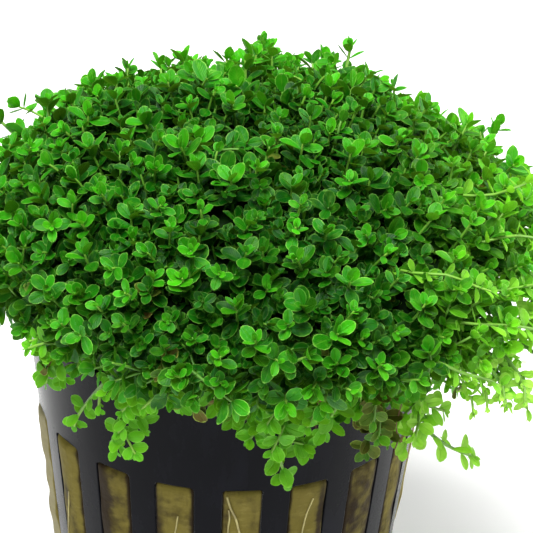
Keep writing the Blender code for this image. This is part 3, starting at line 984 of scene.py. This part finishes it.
def growStrays():
    net = Net()
    for angle, radius, height, size, worn in strays["leaves"]:
        place, facing = spot(angle, radius, height), facingOut(angle, 0.85, 0.4)
        net.add([place, place + up * 1.5 * mm - facing * 1.2 * mm], draw(0, 6.28), [size, 0],
                1.3, 0.18 * mm, 0.5, 0.1, worn, 0.2, facing, 0.5)
    for path, radius in strays["stems"]:
        points = curvePoints([spot(*each) for each in path], [0.5 * mm * k for k in range(60)])
        radii = [radius * mm * (0.8 + 0.25 * noise.noise(point / (0.9 * mm))) for point in points]
        net.add(points, 0.0, 0, 1.0, radii, 0.3, 0.0, 0.95)
    keep(net.grow("oldLeavesAndStems", 160), "old_olive", "leaf_mound")


growStrays()


# The pot: one stretch of wall with two slots and one hole in the base, set nine times round the axis

pot = {
    "height": 50.0 * mm, "rimRadius": 24.7 * mm, "collarHeight": 6.4 * mm,
    "topRadius": 23.85 * mm, "baseRadius": 19.25 * mm, "wall": 1.0 * mm,
    "slotLow": 5.0 * mm, "slotHigh": 37.0 * mm, "slotAngle": 11.8, "firstSlot": 5.2, "slotPitch": 20,
    "cornerAngle": 1.3, "cornerHeight": 0.55 * mm,
    "hubRadius": 7.0 * mm, "holeRadius": 15.5 * mm, "softEdge": 0.14 * mm, "copies": 9,
    "wallLow": 3.0 * mm, "wallSteps": (1.2 * mm, 2.2 * mm),  # where the wall with the slots begins
    "footStep": 1.2 * mm, "soleRadius": 17.4 * mm,
    "columns": (-10, -7.9, -5.7, -2.85, 0, 2.85, 5.7, 7.9, 10),  # angles from a slot's middle
    # the collar's outline above the wall: radius and height in mm
    "collar": [(24.12, 45.6), (24.36, 47.4), (24.54, 48.6), (24.66, 49.3)],
}


def bodyRadius(height):
    share = height / (pot["height"] - pot["collarHeight"])
    return pot["baseRadius"] + (pot["topRadius"] - pot["baseRadius"]) * share


def slotRings():  # matching points on the slot's edge and on its stretch of wall: angle and height
    half = pot["slotAngle"] / 2
    low, bottom = pot["slotLow"], pot["wallLow"]
    middle = (low + pot["slotHigh"]) / 2
    turn, rise, (firstStep, step) = pot["cornerAngle"], pot["cornerHeight"], pot["wallSteps"]
    near, wide, wider, edge = pot["columns"][5:]
    quarter = [((0, low), (0, bottom)), (((half - turn) / 2, low), (near, bottom)),
               ((half - turn, low), (wide, bottom))]
    outer = [(wider, bottom), (edge, bottom), (edge, bottom + firstStep), (edge, bottom + step)]
    for k, place in enumerate(outer):
        bend = math.radians(22.5 * (k + 1))
        corner = (half - turn + turn * math.sin(bend), low + rise - rise * math.cos(bend))
        quarter.append((corner, place))
    for k in range(1, 7):
        height = low + rise + (middle - low - rise) * k / 6
        side = bottom + step + (middle - bottom - step) * k / 6
        quarter.append(((half, height), (edge, side)))
    right = quarter + [tuple((u, 2 * middle - z) for u, z in pair) for pair in quarter[-2::-1]]
    return right + [tuple((-u, z) for u, z in pair) for pair in right[-2:0:-1]]


def makePotStretch():
    bm = bmesh.new()
    rings, columns, low = slotRings(), pot["columns"], pot["wallLow"]
    top = pot["slotLow"] + pot["slotHigh"] - low
    foot = pot["height"] - pot["collarHeight"]
    above = [(bodyRadius(top), top), (bodyRadius(foot - 2 * mm), foot - 2 * mm),
             (bodyRadius(foot) + 0.02 * mm, foot),
             *((radius * mm, height * mm) for radius, height in pot["collar"]),
             (pot["rimRadius"], pot["height"])]
    below = [(bodyRadius(low), low), (bodyRadius(pot["footStep"]), pot["footStep"]), (bodyRadius(0.0), 0.0),
             (pot["soleRadius"], 0.0), (pot["holeRadius"], 0.0), (pot["hubRadius"], 0.0)]
    for slot in (0, 1):
        middle = pot["firstSlot"] + pot["slotPitch"] * slot

        def vert(angle, radius, height):
            return bm.verts.new(around(math.radians(middle + angle), radius, height))

        loops = []
        for share in (0.0, 0.3, 1.0):
            loop = []
            for (u, z), (wideU, wideZ) in rings:
                angle, height = u + (wideU - u) * share, z + (wideZ - z) * share
                loop.append(vert(angle, bodyRadius(height), height))
            loops.append(loop)
        for inner, outer in zip(loops, loops[1:]):
            bridge(bm, inner, outer, closed=True)
        for profile in (above, below):
            rows = [[vert(angle, radius, height) for angle in columns] for radius, height in profile]
            for i, (first, second) in enumerate(zip(rows, rows[1:])):
                if profile is below and i == 4 and slot == 0:  # the hole in the base lies between these
                    bridge(bm, first[:3], second[:3])
                    bridge(bm, first[6:], second[6:])
                else:
                    bridge(bm, first, second)
        hub = bm.verts.new((0, 0, 0))
        for k in range(len(columns) - 1):
            bm.faces.new((rows[-1][k], rows[-1][k + 1], hub))
    bmesh.ops.remove_doubles(bm, verts=bm.verts, dist=0.002 * mm)
    bm.normal_update()
    for face in bm.faces:
        face.smooth = True
        centre = face.calc_center_median()
        outward = Vector((0, 0, -1)) if centre.z < 0.01 * mm else Vector((centre.x, centre.y, 0))
        if face.normal.dot(outward) < 0:
            face.normal_flip()
    return bmeshObject("potStretch", bm)


def makeRoundTree():
    g = Tree("setRound", Stretch="Object", Copies=pot["copies"], Finish="Material")
    shape = g.part("ObjectInfo", {"Object": g.given("Stretch")}, "Geometry")
    spots = g.part("Points", {"Count": g.given("Copies")}, "Points")
    turn = g.part("ShaderNodeCombineXYZ", {"Z": g.part("InputIndex") * 2 * math.pi / g.given("Copies")})
    copies = g.part("InstanceOnPoints", {"Points": spots, "Instance": shape, "Rotation": turn})
    whole = g.part("RealizeInstances", {"Geometry": copies})
    whole = g.part("MergeByDistance", {"Geometry": whole, "Distance": 0.004 * mm})
    return g.done(g.coated(whole, "Finish"))


def makePot():
    stretch = makePotStretch()
    made = meshObject("netPot", bpy.data.meshes.new("netPot"))
    giveInputs(made, makeRoundTree(), Stretch=stretch, Finish=potMaterial)
    addModifier(made, "SOLIDIFY", thickness=pot["wall"], offset=-1, use_even_offset=True)
    addModifier(made, "BEVEL", width=pot["softEdge"], segments=2, limit_method="ANGLE",
                angle_limit=math.radians(50), harden_normals=True)
    made = plain(made)
    bpy.data.objects.remove(stretch)
    return made


keep(makePot(), "pot_black", "net_pot")


# The mineral wool swells a little out of every slot, is lumpy and fibrous, has soaked brown patches and
# painted shade at the slot edges, and painted pale light on the left limb

wool = {
    "gap": 0.35 * mm, "recess": 0.14 * mm, "crown": 0.12 * mm, "swell": (-0.05 * mm, 0.32 * mm),
    "lump": 0.26 * mm, "lumpPeriod": 3.4 * mm, "fibre": 0.06 * mm, "fibrePeriod": 0.75 * mm,
    "columns": (0.7, 1.4, 2.2, 3.0, 3.7, 4.4, 5.0, 5.5, 5.9, 6.2, 6.5, 7.4, 9),  # angles from a slot's middle
    "rows": 96, "top": 50.0 * mm, "bottom": 1.4 * mm,
    # slots where it bulges further out, where it is scalloped, and where it is darker or paler all over; the
    # paler ones are painted light
    "proud": {-3: 0.50 * mm, -4: 0.18 * mm, -2: 0.2 * mm, -5: 0.22 * mm},
    "bulges": {-5: 0.34 * mm, -4: 0.26 * mm}, "bulgeHeight": 2.7 * mm,
    "soaked": {-1: 0.22, -2: 0.36, -3: 0.04, -4: -0.27, -5: -0.14, 3: 0.3, 2: 0.52, 6: 0.2, 8: 0.3},
    # angle, height, half width in degrees, half height in mm and depth of each dark patch: soaked brown, and
    # painted shade on some slots' left sides
    "stains": [(-40.5, 24, 6.0, 26, 1.3), (-37, 36, 5, 2.5, 0.6), (-56, 29, 3.0, 3.0, 0.6),
               (-53, 24, 2.2, 4, 0.5), (-19.8, 29, 2.6, 9, 0.75), (-15, 33.5, 5, 1.6, 0.35),
               (0.6, 30, 1.6, 9, 0.55), (8.6, 31, 2.0, 5, 0.4), (29.6, 30, 1.4, 12, 0.9),
               (42, 30.5, 2.6, 3.0, 1.0), (42, 20, 3.4, 6, 0.8), (45, 26, 4, 12, 0.45),
               (69.5, 27, 3.4, 14, 1.0), (104, 22, 4, 9, 0.8), (128, 30, 3, 6, 0.7), (150, 16, 5, 6, 0.6),
               (-172, 27, 4, 8, 0.8), (-136, 20, 4, 9, 0.7), (-112, 31, 4, 4, 0.8), (-92, 18, 4, 8, 0.6)],
}


def slotPlace(angle):  # the number of the nearest slot, and how far from its middle the angle is
    slot = round((angle - pot["firstSlot"]) / pot["slotPitch"])
    return (slot + 9) % 18 - 9, abs(angle - pot["firstSlot"] - pot["slotPitch"] * slot)


def inSlot(side, height):  # 1 inside a slot
    edge, soft = pot["slotAngle"] / 2 + 0.6, 0.3 * mm
    share = 1 - smoothShare(side, edge - 1.0, edge)
    share *= smoothShare(height, pot["slotLow"] - soft, pot["slotLow"] + soft)
    return share * (1 - smoothShare(height, pot["slotHigh"] - soft, pot["slotHigh"] + soft))


def woolRadius(angle, height):  # angle in degrees
    behind = bodyRadius(min(height, pot["height"] - pot["collarHeight"])) - pot["wall"] - wool["gap"]
    slot, side = slotPlace(angle)
    place = around(math.radians(angle), behind, height)
    lump = noise.noise(place / wool["lumpPeriod"])
    fine = noise.noise(Vector((place.x, place.y, place.z * 0.5)) / wool["fibrePeriod"])
    low, high = wool["swell"]
    swell = low + (high - low) * (0.5 + 0.7 * noise.noise(Vector((slot * 3.7, height / (9 * mm), 1.3))))
    swell += wool["proud"].get(slot, 0)
    wave = noise.noise(Vector((slot * 5.3, height / wool["bulgeHeight"], 4.1)))
    swell += wool["bulges"].get(slot, 0) * wave
    rough = wool["lump"] * lump + wool["fibre"] * fine
    crown = max(0, 1 - (side / 6.0) ** 2)
    out = pot["wall"] + wool["gap"] - wool["recess"] + (swell + wool["crown"]) * crown + rough * crown ** 0.4
    return behind + inSlot(side, height) * out


def woolStainAndLight(angle, height):
    slot, side = slotPlace(angle)
    soaked = wool["soaked"].get(slot, 0)
    # painted shade: the wool darkens towards each slot's edges
    depth = 0.8 * smoothShare(side, 4.3, 5.9) + soaked
    for middle, level, wide, tall, strength in wool["stains"]:
        turn = (angle - middle + 180) % 360 - 180
        away = (turn / wide) ** 2 + ((height / mm - level) / tall) ** 2
        depth = max(depth, strength * math.exp(-away) + min(0, soaked))
    return depth


def makeWool():
    bm = bmesh.new()
    stain = bm.verts.layers.float.new("stain")
    columns = [-turn for turn in wool["columns"][::-1]] + [0.0, *wool["columns"]]
    angles = [pot["firstSlot"] + pot["slotPitch"] * slot + turn for slot in range(18) for turn in columns]
    rows = []
    for k in range(wool["rows"] + 1):
        height = wool["bottom"] + (wool["top"] - wool["bottom"]) * k / wool["rows"]
        row = []
        for angle in angles:
            angle = (angle + 180) % 360 - 180
            vert = bm.verts.new(around(math.radians(angle), woolRadius(angle, height), height))
            vert[stain] = woolStainAndLight(angle, height)
            row.append(vert)
        rows.append(row)
    for low, high in zip(rows, rows[1:]):
        bridge(bm, low, high, closed=True)
    for row, height in ((rows[0][::-1], wool["bottom"]), (rows[-1], wool["top"])):
        hub = bm.verts.new((0, 0, height))
        for near, far in zip(row, row[1:] + row[:1]):
            bm.faces.new((near, far, hub))
    return bmeshObject("rockwoolPlug", bm, woolMaterial)


keep(makeWool(), "rockwool", "rockwool_plug")


# Pale roots that lie on the wool in the slots

roots = {
    "step": 0.45, "tone": 0.5,  # mm between points
    # the angle and height in mm of each root's points, and its radius in mm
    "paths": [
        ([(0.6, 36.4), (1.8, 34.6), (3.4, 33.0), (4.6, 31.0), (6.4, 28.6), (7.6, 24.0)], 0.16),
        ([(1.2, 34.5), (1.6, 33.0), (1.3, 31.0), (2.2, 28.0), (3.0, 22.0)], 0.12),
        ([(-13.4, 33.0), (-14.6, 30.0), (-17.6, 28.0), (-18.4, 24.0)], 0.09),
        ([(26.4, 35.0), (24.6, 32.0), (23.4, 27.0), (25.4, 21.0)], 0.10),
        ([(-54, 30.0), (-56, 26.0), (-58, 20.0)], 0.10), ([(83, 34.0), (85, 28.0), (84, 20.0)], 0.10),
        ([(124, 35.0), (126, 29.0), (123, 24.0)], 0.12), ([(-176, 33.0), (-174, 27.0), (-175, 19.0)], 0.12),
        ([(-116, 34.0), (-114, 28.0), (-117, 22.0)], 0.10),
    ],
}


def growRoots():
    net = Net()
    for path, radius in roots["paths"]:
        line = [Vector((angle, height, 0)) for angle, height in path]
        points = []
        for place in curvePoints(line, [roots["step"] * k for k in range(60)]):
            angle, height = place.x, place.y * mm
            points.append(around(math.radians(angle), woolRadius(angle, height) + radius * 0.5 * mm, height))
        net.add(points, 0.0, 0, 1.0, radius * mm, roots["tone"])
    keep(net.grow("paleRoots", 170, stem=rootMaterial), "rockwool", "rockwool_plug")


growRoots()

for shape in fineBlades + plainBlades:
    bpy.data.objects.remove(shape)
for piece, slot, nodes in pieces:
    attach(piece, "root")
    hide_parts(*nodes)


# Floor, light and camera

studio = {
    "floor": (0.86, 0.86, 0.85), "floorMottle": 0.985, "floorGlow": 0.18, "floorHalf": 4,
    "sky": (1.0, 1.0, 1.0), "skyStrength": 0.25,
    # power, width and place of each lamp, and where they point
    "lamps": {"key": (9.9, 0.40, (-0.08, -0.22, 0.62)), "side": (3.3, 0.36, (0.52, 0.16, 0.20))},
    "lit": Vector((0, 0, 0.05)),
    "camera": Vector((0, -0.29144, 0.21211)),
    "target": Vector((0.00411, 0, 0.05397)),
    "roll": 2.21,
    "lens": 187.8,
}


def makeStudio():
    floor = Finish("paleFloor")
    pale = studio["floor"]
    shade = floor.mix(floor.noise(14.0, 2.0), pale, tuple(part * studio["floorMottle"] for part in pale))
    bm = bmesh.new()
    bmesh.ops.create_grid(bm, x_segments=1, y_segments=1, size=studio["floorHalf"])
    plane = bmeshObject("floor", bm, floor.done(floor.shader(
        studio, shade, 0.9, Emission_Color=(1, 1, 1), Emission_Strength=studio["floorGlow"])))

    scene = bpy.context.scene
    world = bpy.data.worlds.new("softRoom")
    scene.world = world
    world.use_nodes = True
    background = world.node_tree.nodes["Background"]
    background.inputs["Color"].default_value = (*studio["sky"], 1)
    background.inputs["Strength"].default_value = studio["skyStrength"]

    for name, (energy, size, place) in studio["lamps"].items():
        lamp = bpy.data.lights.new(name, "AREA")
        lamp.energy = energy
        lamp.size = size
        holder = meshObject(name, lamp)
        holder.location = place
        holder.rotation_euler = (studio["lit"] - Vector(place)).to_track_quat("-Z", "Y").to_euler()

    camera = bpy.data.cameras.new("camera")
    camera.sensor_width = 36
    camera.lens = studio["lens"]
    camera.clip_start = 0.01
    holder = meshObject("camera", camera)
    forward = (studio["target"] - studio["camera"]).normalized()
    right = forward.cross(up).normalized()
    top = right.cross(forward)
    roll = math.radians(studio["roll"])
    tiltedRight = right * math.cos(roll) + top * math.sin(roll)
    tiltedTop = top * math.cos(roll) - right * math.sin(roll)
    turn = Matrix((tiltedRight, tiltedTop, -forward)).transposed()
    holder.matrix_world = Matrix.Translation(studio["camera"]) @ turn.to_4x4()
    scene.camera = holder
    scene.view_settings.view_transform = "Standard"


makeStudio()
print("studio ready")
